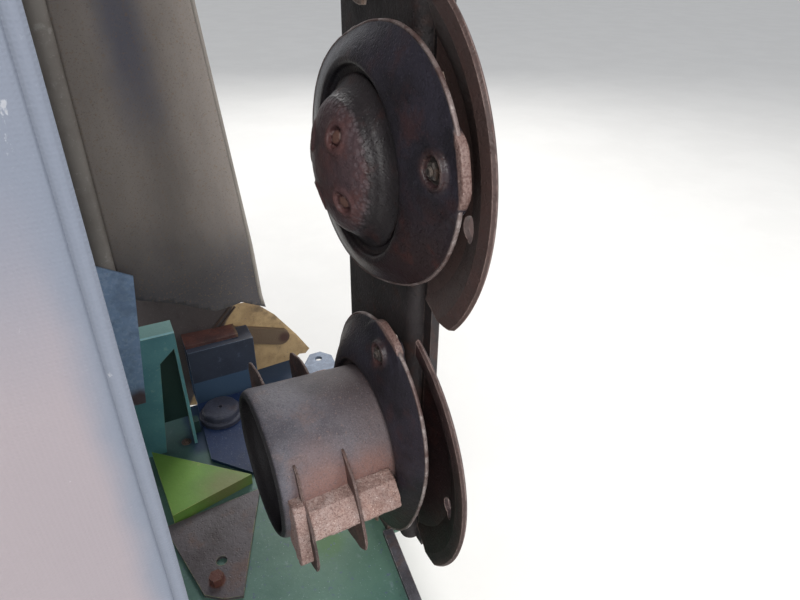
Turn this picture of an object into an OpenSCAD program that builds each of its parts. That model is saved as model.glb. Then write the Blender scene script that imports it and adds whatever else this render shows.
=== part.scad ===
// Folded-up cutting unit of a disc mower: gear case bar, oval discs, drum, knives,
// rock guards, inner end frame, hood rails and curtains.
// Every module is drawn from the centre of the inner disc. X runs from the hood (-) to the
// ground side (+), Y from the front (-) to the rear (+), Z along the bar from its inner end.
// place() then moves the unit so that the fold hinge is the origin.

/* [Cutter bar] */
// Distance between disc centres
disc_pitch = 410; // [400:5:440]
// Height of the gear case, across the bar
case_h = 50; // [40:2:60]
// Front edge of the gear case, ahead of the disc centres
case_front = 78; // [70:2:90]
// Rear edge of the gear case, behind the disc centres
case_rear = 170; // [150:1:180]
// Thickness of the bolted seam flanges of the case
seam_t = 12; // [8:1:16]
// Length of the feet between the case's ends and the end plates
foot_l = 55; // [45:5:60]

/* [Discs] */
// Half length of a disc's oval rim
disc_a = 198; // [192:1:202]
// Half width of a disc's oval rim
disc_b = 145; // [140:1:154]
// Thickness of the disc plate
disc_t = 4; // [3:0.5:6]
// Height of the hub's seat above the rim
disc_dish = 10; // [8:1:14]
// Height of the ridge round the hub above the rim
ridge_h = 20; // [17:1:26]
// Radius of the round seat inside the ridge
disc_seat_r = 108; // [104:0.5:111]
// Reach of the knife pads past the oval rim
pad_reach = 6; // [3:1:8]
// Angle from the knife bolts' axis to the oval's long axis
disc_skew = 5; // [2:0.5:8]
// Angle of the inner disc's knife bolts, from the rear towards the outer end
disc_angle = 103.5; // [95:0.5:112]
// Radius of the circle of the knife bolts
knife_bolt_r = 165; // [160:1:168]

/* [Knives] */
// Length of a knife
knife_l = 112; // [100:1:114]
// Width of a knife
knife_w = 40; // [34:1:44]
// Thickness of a knife
knife_t = 4; // [3:0.5:5]
// Distance from a knife's inner end to its hole
knife_heel = 24; // [22:1:28]
// Radius of the hole in a knife
knife_hole_r = 10; // [8:0.5:11]
// Gap between the disc's rim and the knife below it
knife_gap = 6.5; // [5.5:0.5:8]
// Height of the knife bolt's head below the knife
bolt_head_t = 7; // [5:0.5:8]

/* [Hubs and drum] */
// Radius of a hub dome's waist, over its flared foot
hub_top_r = 84; // [80:1:87]
// Height of a hub dome
hub_h = 52; // [48:1:58]
// Radius of the circle of the four dome bolts
hub_bolt_r = 50; // [46:1:54]
// Radius of the drum at its open end
drum_top_r = 106; // [100:1:110]
// Length of the drum
drum_l = 168; // [160:1:176]
// Wall thickness of the drum
drum_wall = 5; // [4:0.5:8]
// Height of a new paddle rib over the drum's wall
paddle_h = 61; // [54:1:64]
// Radius of the drive shaft inside the drum
shaft_r = 17.5; // [15:0.5:20]

/* [Rock guards] */
// Radius of a guard's front edge
guard_r = 221; // [214:1:232]
// Thickness of a guard plate
guard_t = 7; // [5:0.5:9]
// Radius of the round hole in a guard
guard_hole_r = 14; // [10:1:18]

/* [Inner end frame] */
// Distance from an end disc's centre to the end frame
frame_drop = 270; // [265:1:280]
// Thickness of the end frame plates
deck_t = 6; // [5:0.5:10]
// Radius of the fold hinge bore
hinge_bore_r = 15; // [12:0.5:18]
// Thickness of a hinge ear
hinge_ear_t = 16; // [12:1:20]
// Distance between the two hinge ears
hinge_gap = 184; // [150:2:220]
// Distance from the disc centres to the end frame's front corner
frame_front = 400; // [392:1:410]
// Distance from the disc centres to the deck plate's rear edge
frame_rear = 507; // [500:1:520]
// Distance from the deck plate down to the hinge axis
hinge_drop = 74; // [64:1:90]
// Radius of the lift link bore
lift_bore_r = 12.5; // [10:0.5:15]

/* [Hood] */
// Height of the front rail over the discs' rims
hood_h = 430; // [420:2:440]
// Outer radius of the hood rails
rail_r = 17; // [14:1:21]
// Wall thickness of the hood rails
rail_wall = 3; // [2:0.5:4]
// Thickness of the curtains and of the top cover
sheet_t = 4; // [3:0.5:6]

/* [Hidden] */
$fn = 64;

disc_count = 4;
case_end = frame_drop - foot_l;              // from an end disc's centre to the case's end
ridge_r = disc_seat_r + 10;                  // outer radius of the ridge round a hub
hub_r = disc_seat_r - 8;                     // base radius of a hub dome
drum_r = disc_seat_r - 8;                    // radius of the drum at its base
discs = [for (i = [1 : disc_count]) i];
// Gap between a turning piece and the standing piece that it seats on
run_gap = 0.3;
// Gap between the drum and a paddle that is laid on it
paddle_gap = 0.1;
// Radial clearance of a shaft that turns in a bore
fit_gap = 0.06;
// Clear distance between moving and standing pieces
clear_gap = 5;

// Levels along X, from the hood side to the ground side
knife_x = disc_t + knife_gap;                // upper face of a knife
head_x = knife_x + knife_t + 0.5;            // upper face of the bolt head
case_x = head_x + bolt_head_t + clear_gap;   // upper face of the gear case
case_low_x = case_x + case_h;                // lower face of the gear case
lip_x = knife_x + knife_t + clear_gap;       // upper face of a guard's lip
collar_x = -4;                               // lower face of the disc's collar

// Levels along Z
last_z = (disc_count - 1) * disc_pitch;      // centre of the outer disc
deck_z = -frame_drop;                        // upper face of the deck plate
outer_z = last_z + frame_drop;               // inner face of the outer end plate

// The fold hinge, seen from the inner disc's centre
hinge_x = -150;
hinge_y = 60;
hinge_z = deck_z - deck_t - hinge_drop;

// Centres of the hood rails
rear_rail_at = [-314, frame_rear - 105];
front_rail_at = [-hood_h, 20 - frame_front];
// Front face of the upright panel
panel_y = frame_rear - 122;

function disc_z(i) = (i - 1) * disc_pitch;
function disc_turn(i) = (i % 2 == 1) ? disc_angle : 270 - disc_angle;
// Alternate discs turn opposite ways, so their ovals are mirrored
function skew(i) = (i % 2 == 1) ? -disc_skew : disc_skew;
// Angle of each disc's two knives about their bolts, from pointing straight outwards
function knife_swing(i, side) = [[224.5, 13.5], [108.9, 76.5], [206, 2], [238, 92]][i - 1][side];
// Radius of a disc's oval rim at an angle from the knife bolts' axis
function oval_r(a, i) = (disc_a + disc_b) / 2 + (disc_a - disc_b) / 2 * cos(2 * (a - skew(i)));
// Point at a radius and an angle
function polar(r, a) = [r * cos(a), r * sin(a)];

// Dish of a disc from its rim to the ridge: share of the way in, share of the height
DISH = [[0, 0], [0.1, 0.08], [0.28, 0.31], [0.5, 0.6], [0.72, 0.84], [0.88, 0.96], [1, 1]];
// A paddle rib's outer edge: angle past the bar's upper edge, height as a share of a new rib's,
// for the rib in the middle and for the worn rib at the drum's end
RIB = [[-29, -0.1], [-25, 0.03], [-18, 0.13], [-9, 0.33], [-1, 0.44], [7, 0.55], [14, 0.68],
    [20, 0.82], [26, 0.97], [31, 1], [36, 0.88], [41, 0.68], [53, 0.36], [66, -0.1]];
END_RIB = [[-31, -0.1], [-26, 0.06], [-20, 0.14], [-9, 0.14], [0, 0.22], [6, 0.46], [14, 0.68],
    [22, 0.86], [28, 0.97], [34, 0.98], [39, 0.8], [44, 0.6], [54, 0.3], [64, -0.1]];
// The two paddles: height left of a rib's tip, wear of the bar, shift of the ribs towards the
// disc, share left of the lump at the end
PADDLES = [[1, 0, 0, 1], [0.95, 3, 7, 0.25]];

// Moves the unit so that the fold hinge is the origin
module place() {
    translate([-hinge_x, -hinge_y, -hinge_z]) children();
}

// Children are drawn with their height towards the hood, about a disc's axis
module about_disc(i) {
    translate([0, 0, disc_z(i)]) rotate([0, -90, 0]) rotate([0, 0, 90]) children();
}

// The same, turned with the disc, so that its long axis is the children's X
module on_disc(i) {
    about_disc(i) rotate([0, 0, -disc_turn(i)]) children();
}

// Ring of a disc's plate, from the oval rim up to a circle
module dish_ring(i) {
    steps = 60;
    rows = len(DISH);
    loops = 2 * rows;
    in_r = ridge_r - 4;
    function at(k, j, drop) =
        let (a = 360 * j / steps, w = DISH[k][0], r = oval_r(a, i) * (1 - w) + in_r * w)
        [r * cos(a), r * sin(a), ridge_h * DISH[k][1] - drop];
    function id(k, j) = (k % loops) * steps + j % steps;
    polyhedron(
        points = [
            for (k = [0 : rows - 1], j = [0 : steps - 1]) at(k, j, 0),
            for (k = [rows - 1 : -1 : 0], j = [0 : steps - 1]) at(k, j, disc_t)],
        faces = [for (k = [0 : loops - 1], j = [0 : steps - 1]) each [
            [id(k, j), id(k + 1, j + 1), id(k, j + 1)],
            [id(k, j), id(k + 1, j), id(k + 1, j + 1)]]]);
}

// Round middle of a disc: a flat seat inside a rounded ridge
module dish_middle() {
    seat = disc_dish;
    rotate_extrude($fn = 96) polygon([
        [0, seat - disc_t], [disc_seat_r + 3, seat - disc_t], [ridge_r, ridge_h - disc_t - 4],
        [ridge_r, ridge_h - 0.6], [ridge_r - 3, ridge_h + 0.4], [ridge_r - 7, ridge_h],
        [disc_seat_r + 0.8, ridge_h - 2.5], [disc_seat_r, ridge_h - 5], [disc_seat_r, seat], [0, seat]]);
}

// Thick pad over a knife, flat under and filled up to the plate
module knife_pad() {
    low = 1.5 - knife_x;
    out = disc_a + pad_reach;
    intersection() {
        rotate_extrude($fn = 96) polygon([
            [knife_bolt_r - 37, low], [out, low], [out, 2], [out - 17, 3], [knife_bolt_r, 7],
            [knife_bolt_r - 25, 13], [knife_bolt_r - 37, 16]]);
        translate([knife_bolt_r - 10, 0, -30]) cylinder(r = 52, h = 80);
    }
}

// Disc plate with thick pads, knife bolts, collar and spindle
module disc(i) {
    color("#3b3735") on_disc(i) difference() {
        union() {
            dish_ring(i);
            dish_middle();
            for (s = [0, 180]) rotate([0, 0, s]) {
                knife_pad();
                translate([knife_bolt_r, 0, 0]) knife_bolt();
            }
            translate([0, 0, -collar_x]) cylinder(r = 52, h = disc_dish + collar_x - 1);
            translate([0, 0, 2 - case_x]) cylinder(r = 20, h = case_x + disc_dish - 4);
        }
        for (s = [1, -1]) translate([s * knife_bolt_r, 0, disc_t + 1.5]) cylinder(r = 15, h = 30);
    }
}

// Knife bolt: boss over the knife, neck through it and flat round head under it
module knife_bolt() {
    translate([0, 0, 0.5 - knife_x]) cylinder(r = 19, h = knife_x + 11.5, $fn = 48);
    translate([0, 0, -head_x]) cylinder(r = knife_hole_r - 0.5, h = head_x, $fn = 48);
    translate([0, 0, -head_x - bolt_head_t]) cylinder(r = 17, h = bolt_head_t, $fn = 48);
}

// Knife: plate with round ends and two ground edges, on its bolt
module knife(i, side) {
    color("#6b5a4e") on_disc(i) rotate([0, 0, side > 0 ? 0 : 180])
        translate([knife_bolt_r, 0, -knife_x - knife_t]) rotate([0, 0, knife_swing(i, side > 0 ? 0 : 1)])
        difference() {
            linear_extrude(knife_t) intersection() {
                translate([-knife_heel, -knife_w / 2]) square([knife_l, knife_w]);
                translate([knife_l / 2 - knife_heel, 0]) circle(r = knife_l / 2, $fn = 96);
            }
            translate([0, 0, -1]) cylinder(r = knife_hole_r, h = knife_t + 2);
            for (s = [1, -1]) translate([knife_l / 2, s * knife_w / 2, knife_t / 2])
                rotate([-s * 25, 0, 0]) translate([-12, -8, 0]) cube([knife_l, 16, 8]);
        }
}

// Hub dome on a disc: flared foot, narrow waist, rounded cap and four sunk bolts
module hub_dome(i) {
    t = hub_top_r;
    h = hub_h;
    color("#4a2f27") on_disc(i) translate([0, 0, disc_dish]) {
        difference() {
            union() {
                rotate_extrude($fn = 96) polygon([
                    [0, 0], [hub_r, 0], [hub_r, 2], [hub_r - 3, 4.5], [t + 8, 7], [t + 4, 10.5],
                    [t + 1.5, 13.5], [t, 17], [t - 3.5, h - 31], [t - 6, h - 27], [t - 8.5, h - 23],
                    [t - 12.5, h - 19], [t - 18.5, h - 15], [t - 26, h - 11], [t - 37, h - 6.5],
                    [t - 50, h - 3.5], [20, h - 1], [0, h]]);
                for (k = [0 : 3]) dome_bolt(k) translate([0, 0, -11]) cylinder(r1 = 21, r2 = 17.5, h = 12);
            }
            for (k = [0 : 3]) dome_bolt(k) translate([0, 0, -7]) cylinder(r = 12, h = 20);
        }
        for (k = [0 : 3]) dome_bolt(k) translate([0, 0, -8]) cylinder(r = 8.5, h = 6.5, $fn = 6);
    }
}

// Puts its children at one of the four bolt seats of a dome, square to its rounded cap
module dome_bolt(k) {
    rotate([0, 0, 90 * k + 44]) translate([hub_bolt_r, 0, hub_h - 8]) rotate([0, 22, 0]) children();
}

// Drum on the inner disc, open at its hood end, where its lip turns inwards
module drum() {
    inner_r = drum_r - drum_wall;
    color("#54463f") on_disc(1) translate([0, 0, disc_dish]) rotate_extrude($fn = 96) polygon([
        [shaft_r, 0], [drum_r, 0], [drum_r, 14], [drum_top_r, drum_l - 12],
        [drum_top_r - 1, drum_l - 7], [drum_top_r - 4, drum_l - 2], [drum_top_r - 7, drum_l],
        [drum_top_r - 9, drum_l - 2], [drum_top_r - 7, drum_l - 9], [drum_top_r - drum_wall, drum_l - 14],
        [inner_r, 14], [inner_r - 6, 8], [60, 8], [54, 18], [shaft_r, 18]]);
}

// One paddle, cut to lie on the drum: a pitted bar along it, two sickle ribs and a lump
module drum_paddle(k) {
    rib_wear = PADDLES[k][0];
    shift = PADDLES[k][2];
    left = PADDLES[k][3];
    rib_t = 4;
    mid_z = drum_l * 0.43 - shift;
    end_z = drum_l * 0.825 - shift;
    root = drum_r - 2;
    out = drum_top_r - PADDLES[k][1];
    color("#54463f") on_disc(1) translate([0, 0, disc_dish]) difference() {
        rotate([0, 0, 180 * k - 66.5]) {
            translate([0, 0, 15]) linear_extrude(end_z - 15) polygon([
                polar(root, 0), polar(out + 16, -4), polar(out + 36, -17), polar(out + 26, -21),
                polar(root, -17)]);
            translate([0, 0, mid_z]) rib(RIB, rib_wear, rib_t);
            translate([0, 0, end_z]) rib(END_RIB, rib_wear, rib_t);
            translate([0, 0, end_z + rib_t - 1]) linear_extrude(drum_l - end_z - rib_t - 9) polygon([
                polar(root, 6), polar(out + 18 * left, 3), polar(out + 26 * left, -10),
                polar(out + 34 * left, -22), polar(out + 46 * left, -30), polar(out + 42 * left, -37),
                polar(out + 12 * left, -41), polar(root, -40)]);
        }
        rotate_extrude($fn = 96) polygon([
            [0, -1], [drum_r + paddle_gap, -1], [drum_r + paddle_gap, 14],
            [drum_top_r + paddle_gap, drum_l - 12], [drum_top_r + paddle_gap, drum_l + 1],
            [0, drum_l + 1]]);
    }
}

// Sickle rib across a paddle, with its edge from a table
module rib(edge, wear, t) {
    linear_extrude(t) polygon(concat(
        [for (p = edge) polar(drum_top_r - 2 + paddle_h * min(p[1], wear), -p[0])],
        [for (a = [62 : -9 : -28]) polar(drum_r - 2, -a)]));
}

// Shaft end that takes the drive inside the drum
module drive_shaft() {
    color("#5a5048") on_disc(1) translate([0, 0, disc_dish]) {
        cylinder(r = shaft_r, h = drum_l - 38);
        translate([0, 0, 18]) cylinder(r = shaft_r + 8, h = 24);
    }
}

// Gear case: rounded section with bolted seam flanges
module gear_case() {
    mid_x = case_x + case_h / 2;
    seam_y = 18;
    color("#2b211c") translate([0, 0, -case_end]) linear_extrude(last_z + 2 * case_end) {
        translate([case_x, seam_y - case_front])
            round_box(case_h, case_front + case_rear - 2 * seam_y, 16);
        translate([mid_x - seam_t / 2, -case_front]) square([seam_t, case_front + case_rear]);
    }
}

// Rectangle with round corners
module round_box(x, y, r) {
    translate([0, r]) square([x, y - 2 * r]);
    translate([r, 0]) square([x - 2 * r, y]);
    for (a = [r, x - r], b = [r, y - r]) translate([a, b]) circle(r = r);
}

// Spindle housings between the case and the discs
module spindle_housings() {
    color("#3a3330") for (i = discs) about_disc(i) translate([0, 0, -case_x]) difference() {
        union() {
            cylinder(r = 58, h = 7);
            cylinder(r = 50, h = case_x - collar_x - run_gap);
        }
        translate([0, 0, -1]) cylinder(r = 20 + fit_gap, h = case_x + 30);
    }
}

// Rock guard: a dished lip ahead of the bar and a sole under the case
module rock_guard(i) {
    pan_x = case_x + 14;                     // lower face of the pan behind the lip
    wall_y = -case_front - 24;               // front face of the wall ahead of the case
    sole_w = 135;
    sole_z = -120;                           // inner edge of the sole
    color("#3f2620") translate([0, 0, disc_z(i)]) {
        intersection() {
            difference() {
                rotate([0, -90, 0]) rotate_extrude($fn = 128) polygon([
                    [case_front, -pan_x], [guard_r - 52, -pan_x], [guard_r - 18, -lip_x - guard_t],
                    [guard_r - 3, -lip_x - guard_t], [guard_r, -lip_x - guard_t / 2],
                    [guard_r - 3, -lip_x], [guard_r - 20, -lip_x],
                    [guard_r - 54, guard_t - pan_x], [case_front, guard_t - pan_x]]);
                translate([0, 54 - guard_r, -26]) rotate([0, 90, 0]) cylinder(r = guard_hole_r, h = 80);
            }
            rotate([90, 0, 90]) linear_extrude(100) guard_window();
        }
        translate([case_low_x, wall_y, sole_z])
            cube([guard_t, case_rear - 20 - wall_y, sole_w]);
        translate([pan_x - guard_t, wall_y, sole_z])
            cube([case_low_x + guard_t - pan_x + guard_t, guard_t, sole_w]);
    }
}

// Front view of a guard: full arc at its outer side, rounded tip at its inner side
module guard_window() {
    front = guard_r + 10;
    difference() {
        translate([-front, -150]) square([front - case_front - 8, 370]);
        translate([-front, -151]) difference() {
            square([front - 144, 62]);
            translate([front - 144, 62]) circle(r = 61);
        }
    }
}

// Feet between the case's ends and the end plates
module case_feet() {
    foot_h = frame_drop - case_end;
    color("#33302d") for (z = [deck_z, outer_z - foot_h])
        translate([case_x, 8, z]) cube([case_h, case_rear - 26, foot_h]);
}

// Deck plate of the inner end frame
module deck_plate() {
    color("#3f7a56") translate([0, 0, deck_z - deck_t]) linear_extrude(deck_t) polygon([
        [case_low_x, 4], [35, 4], [-6, 110 - frame_front], [-330, 110 - frame_front],
        [-hood_h - 20, -frame_front], [-hood_h - 20, 60 - frame_front], [30 - hood_h, -200],
        [30 - hood_h, frame_rear - 177], [-340, frame_rear - 67], [-330, frame_rear],
        [-60, frame_rear], [-60, frame_rear + 70], [50, frame_rear + 70], [62, frame_rear - 47],
        [case_low_x, case_rear]]);
}

// Flat bar along the deck's ground-side edge
module deck_edge_bar() {
    color("#3a3431") translate([35, 4, deck_z]) rotate([0, 0, 180 - 7.9])
        cube([18, frame_front - 110, 10]);
}

// Pale tab with a hole, reaching back from the deck
module rear_tab() {
    tab_y = frame_rear - 127;
    color("#8497a8") translate([0, tab_y, deck_z]) linear_extrude(8) difference() {
        polygon([[-40, 0], [10, -60], [104, 96], [128, 118], [132, 160], [112, 186], [84, 186], [56, 150]]);
        translate([98, 160]) circle(r = 9);
    }
}

// Two ears under the deck with the fold hinge bore, tied by a plate
module hinge_ears() {
    ear_r = 2 * hinge_bore_r;
    color("#3f7a56") translate([hinge_x, hinge_y, hinge_z]) {
        for (s = [-1, 1]) translate([0, s * (hinge_gap + hinge_ear_t) / 2, 0])
            rotate([90, 0, 0]) linear_extrude(hinge_ear_t, center = true) difference() {
                union() {
                    circle(r = ear_r);
                    translate([-ear_r, 0]) square([2 * ear_r, hinge_drop]);
                }
                circle(r = hinge_bore_r);
            }
        translate([-ear_r, -hinge_gap / 2 - hinge_ear_t, hinge_drop - 34])
            cube([8, hinge_gap + 2 * hinge_ear_t, 34]);
    }
}

// Ear under the deck for the lift link
module lift_ear() {
    ear_r = 2 * lift_bore_r;
    reach = 36;
    color("#3f7a56") translate([hinge_x - 170, hinge_y, deck_z - deck_t - reach])
        rotate([90, 0, 0]) linear_extrude(14, center = true) difference() {
            union() {
                circle(r = ear_r);
                translate([-ear_r, 0]) square([2 * ear_r + 50, reach]);
            }
            circle(r = lift_bore_r);
        }
}

// Worn plate lying on the deck, with its bolt
module wear_plate() {
    plate_t = 6;
    color("#6d655f") translate([0, 0, deck_z]) {
        linear_extrude(plate_t) difference() {
            polygon([[-148, 202], [-233, -1], [-262, 8], [-288, 28], [-324, 190]]);
            translate([-249, 78]) circle(r = 9);
        }
        translate([-264, 44, plate_t]) cylinder(r = 12, h = 14, $fn = 6);
    }
}

// Bright triangular gusset on the deck
module gusset_plate() {
    color("#8fae3c") translate([0, 0, deck_z]) linear_extrude(24)
        polygon([[-317, frame_rear - 135], [-156, 226], [-306, 193]]);
}

// Blue-grey pivot plate
module pivot_plate() {
    color("#3f5266") translate([0, 0, deck_z]) linear_extrude(8) polygon([
        [-214, 318], [-150, 246], [-70, 262], [-58, frame_rear - 87], [-70, frame_rear - 7],
        [-206, frame_rear - 7]]);
}

// Round cap on the pivot plate
module pivot_cap() {
    color("#4a3d3c") translate([-165, frame_rear - 69, deck_z + 8]) difference() {
        rotate_extrude() polygon([
            [0, 0], [46, 0], [46, 8], [44, 10], [40, 11], [38, 20], [36, 23], [33, 24.5], [0, 25]]);
        translate([0, 0, 15]) cylinder(r = 4, h = 20);
    }
}

// Upright green panel with a chamfered cut-out, side and top flanges and a web behind
module upright_panel() {
    panel_h = 275;
    color("#4d8a66") translate([0, panel_y, deck_z]) {
        translate([0, 6, 0]) rotate([90, 0, 0]) linear_extrude(6) polygon([
            [-326, 0], [-290, 0], [-264, 215], [-230, 245], [-230, panel_h], [-326, panel_h]]);
        translate([-234, 0, 0]) cube([6, 50, panel_h]);
        translate([-326, 0, panel_h - 6]) cube([98, 50, 6]);
        translate([-326, 44, 40]) cube([98, 6, panel_h - 44]);
        translate([-229, 30, 0]) cube([14, 20, 30]);
    }
}

// Slate-grey box tube behind the upright panel
module box_tube() {
    color("#3b414c") translate([-204, frame_rear, deck_z - deck_t]) difference() {
        cube([142, 58, 146]);
        translate([-1, 5, 5]) cube([144, 48, 136]);
    }
}

// Rusty tie strip above the box tube, with a round-ended tongue along the flap
module tie_strip() {
    color("#6a3a33") translate([0, frame_rear + 18, deck_z + 140]) {
        translate([-204, 0, 0]) cube([114, 52, 8]);
        translate([0, 51.5, 0]) rotate([90, 0, 0]) linear_extrude(10) {
            polygon([[-104, 4], [-94, 4], [24, -41], [11, -79], [-100, -42]]);
            translate([17.5, -60]) circle(r = 20.3);
        }
    }
}

// Soft flap at the rear inner corner
module corner_flap() {
    color("#b08d55") translate([0, frame_rear + 70 + sheet_t, deck_z]) rotate([90, 0, 0])
        linear_extrude(sheet_t) polygon([
            [-300, 60], [-300, 250], [-200, 228], [-94, 200], [-56, 194], [-28, 180], [10, 140], [60, 66],
            [90, 14], [78, 4], [62, 8], [48, 0], [40, -20], [-190, -20]]);
}

// Galvanised bracket that carries the rear rail
module rail_bracket() {
    color("#8fa3b5") translate([rear_rail_at[0], panel_y - run_gap, deck_z + 140])
        rotate([90, 0, 0]) linear_extrude(4) polygon([[-14, 0], [10, 0], [41, 267], [-14, 299]]);
}

// Rear hood rail
module rear_rail() {
    color("#8d8a85") rail(rear_rail_at, deck_z + 275);
}

// Front hood rail
module front_rail() {
    color("#8d8a85") rail(front_rail_at, deck_z);
}

// A tube along the bar from a level to the outer end plate
module rail(at, z) {
    translate([at[0], at[1], z]) linear_extrude(outer_z - z) difference() {
        circle(r = rail_r);
        circle(r = rail_r - rail_wall);
    }
}

// Arm that steadies the front rail from the deck
module front_arm() {
    color("#3f7a56") translate([front_rail_at[0], front_rail_at[1] - 4, deck_z])
        rotate([90, 0, 0]) linear_extrude(6)
        polygon([[rail_r, 0], [100, 0], [rail_r + 10, 120], [rail_r, 120]]);
}

// Outer end plate that joins the case and the rails
module outer_end_plate() {
    color("#3f7a56") translate([0, 0, outer_z]) linear_extrude(deck_t) polygon([
        [case_low_x, -60], [20, -240], [-300, -frame_front - 10], [-hood_h - 30, -frame_front - 10],
        [-hood_h - 30, 60 - frame_front], [-345, frame_rear - 117], [-345, frame_rear - 67],
        [-290, frame_rear - 67], [40, 200], [case_low_x, case_rear]]);
}

// Top cover of the hood between the rails, with a port for the drive over the drum
module top_cover() {
    z0 = deck_z + 20;
    out = rail_r + run_gap;
    color("#7c7f80") difference() {
        translate([0, 0, z0]) linear_extrude(outer_z - z0 - 1) polygon([
            front_rail_at - [out, 0], rear_rail_at - [out, 0],
            rear_rail_at - [out + sheet_t, 0], front_rail_at - [out + sheet_t, 0]]);
        rotate([0, -90, 0]) cylinder(r = drum_top_r + 10, h = hood_h + 100);
    }
}

// Front curtain below the front rail, down to the deck
module front_curtain() {
    z0 = deck_z + 3;
    color("#a9a8ac") translate([front_rail_at[0] + rail_r + run_gap, front_rail_at[1] - 2, z0])
        cube([117, sheet_t, outer_z - z0 - 1]);
}

// Rear curtain below the rear rail, drawn in at its inner end
module rear_curtain() {
    in_x = rear_rail_at[0] + rail_r + run_gap;
    color("#8a8078") translate([0, rear_rail_at[1] + sheet_t / 2, 0]) rotate([90, 0, 0])
        linear_extrude(sheet_t) polygon([
            [in_x, 92], [in_x + 97, 52], [in_x + 150, 28], [-96, 34], [-49, 3], [-54, 31],
            [-60, 140], [-101, 558],
            [-101, last_z], [-85, outer_z - 1], [in_x, outer_z - 1]]);
}

place() gear_case();
place() spindle_housings();
place() rock_guard(1);  // rock_guard_1
place() rock_guard(2);  // rock_guard_2
place() rock_guard(3);  // rock_guard_3
place() rock_guard(4);  // rock_guard_4
place() disc(1);  // disc_1
place() disc(2);  // disc_2
place() disc(3);  // disc_3
place() disc(4);  // disc_4
place() drum();
place() drum_paddle(0);  // drum_paddle_a
place() drum_paddle(1);  // drum_paddle_b
place() drive_shaft();
place() hub_dome(2);  // hub_dome_2
place() hub_dome(3);  // hub_dome_3
place() hub_dome(4);  // hub_dome_4
place() knife(1, 1);  // knife_1a
place() knife(1, -1);  // knife_1b
place() knife(2, 1);  // knife_2a
place() knife(2, -1);  // knife_2b
place() knife(3, 1);  // knife_3a
place() knife(3, -1);  // knife_3b
place() knife(4, 1);  // knife_4a
place() knife(4, -1);  // knife_4b
place() case_feet();
place() deck_plate();
place() deck_edge_bar();
place() rear_tab();
place() hinge_ears();
place() lift_ear();
place() wear_plate();
place() gusset_plate();
place() pivot_plate();
place() pivot_cap();
place() upright_panel();
place() box_tube();
place() tie_strip();
place() corner_flap();
place() rail_bracket();
place() rear_rail();
place() front_rail();
place() front_arm();
place() outer_end_plate();
place() top_cover();
place() front_curtain();
place() rear_curtain();
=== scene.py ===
"""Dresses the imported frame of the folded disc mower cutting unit: paint, worn castings, bolts,
sheets, light and camera."""
import math
import bmesh
import bpy
from mathutils import Matrix, Vector, geometry, noise


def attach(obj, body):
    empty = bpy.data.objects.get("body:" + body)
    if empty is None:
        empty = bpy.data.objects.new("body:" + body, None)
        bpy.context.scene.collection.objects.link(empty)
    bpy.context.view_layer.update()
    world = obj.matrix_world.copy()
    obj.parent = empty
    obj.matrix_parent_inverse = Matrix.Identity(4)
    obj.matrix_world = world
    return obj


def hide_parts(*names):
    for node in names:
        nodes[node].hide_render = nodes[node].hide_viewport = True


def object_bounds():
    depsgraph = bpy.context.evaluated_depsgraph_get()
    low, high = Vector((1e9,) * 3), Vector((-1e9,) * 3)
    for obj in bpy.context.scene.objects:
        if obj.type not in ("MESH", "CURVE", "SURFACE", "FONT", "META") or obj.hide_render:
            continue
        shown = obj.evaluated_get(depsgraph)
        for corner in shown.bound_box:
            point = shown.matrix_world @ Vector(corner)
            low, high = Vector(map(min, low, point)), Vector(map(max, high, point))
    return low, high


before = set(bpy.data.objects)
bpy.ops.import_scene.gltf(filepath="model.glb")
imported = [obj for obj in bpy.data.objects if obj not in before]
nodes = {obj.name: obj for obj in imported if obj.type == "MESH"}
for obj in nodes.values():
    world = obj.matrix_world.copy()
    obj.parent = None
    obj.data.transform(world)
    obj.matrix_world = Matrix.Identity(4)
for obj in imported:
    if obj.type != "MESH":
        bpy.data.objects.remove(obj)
cad_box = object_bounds()


# Places: millimetres from the inner disc's centre, as in the part's source
def at(x, y, z):
    return Vector(((x + 150) / 1000, (y - 60) / 1000, (z + 350) / 1000))


PITCH = 410                    # between disc centres
TURN = 103.5                   # angle of the inner disc's knife bolts
DROP = 270                     # from an end disc's centre to the end plates
OUT_Z = 3 * PITCH + DROP       # outer end plate
DISC_A, DISC_B = 198, 145      # half length and half width of a disc's oval rim
SKEW = 5                       # from the knife bolts' axis to the oval's long axis
KNIFE_BOLT_R, HUB_BOLT_R = 165, 50
SEAT, DRUM_L, TOP_R = 10, 168, 106   # drum: height of its seat, length, radius at its open end
END = SEAT + DRUM_L
RIB_H = 61                     # from the drum's wall to the tip of an unworn rib
REAR, FRONT = (-314, 402), (-430, -380)   # X and Y of the hood's rails
DISCS = range(1, 5)
AXIS_Y, AXIS_Z = -0.06, 0.35   # the inner disc's axis, in metres
BORED = ((-249, 397), (-243, 498))   # dark bolts on the deck


def disc_z(i):
    return (i - 1) * PITCH


def disc_turn(i):
    return TURN if i % 2 else 270 - TURN


def round_spot(x, radius, angle, i=1):
    """Place on a circle about a disc's axis; the angle counts from the rear towards the outer end."""
    t = math.radians(angle)
    return at(x, radius * math.cos(t), radius * math.sin(t) + disc_z(i))


# Camera, at the photograph's place
cam_data = bpy.data.cameras.new("camera")
cam_data.lens = 27.0
cam_data.sensor_width = 36.0
cam_data.clip_start = 0.02
cam = bpy.data.objects.new("camera", cam_data)
bpy.context.collection.objects.link(cam)
view_right = Vector((0.888337, -0.459062, 0.01089))
view_up = Vector((0.226261, 0.458231, 0.859552))
view_back = -Vector((0.399578, 0.761108, -0.510932))
place = Matrix((view_right, view_up, view_back)).transposed().to_4x4()
place.translation = at(-286.7275, -626.0484, 630.6175)
cam.matrix_world = place
bpy.context.scene.camera = cam


# Materials
def rgb(c):
    return tuple(((v / 255 + 0.055) / 1.055) ** 2.4 if v > 10.3 else v / 255 / 12.92 for v in c) + (1,)


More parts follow.
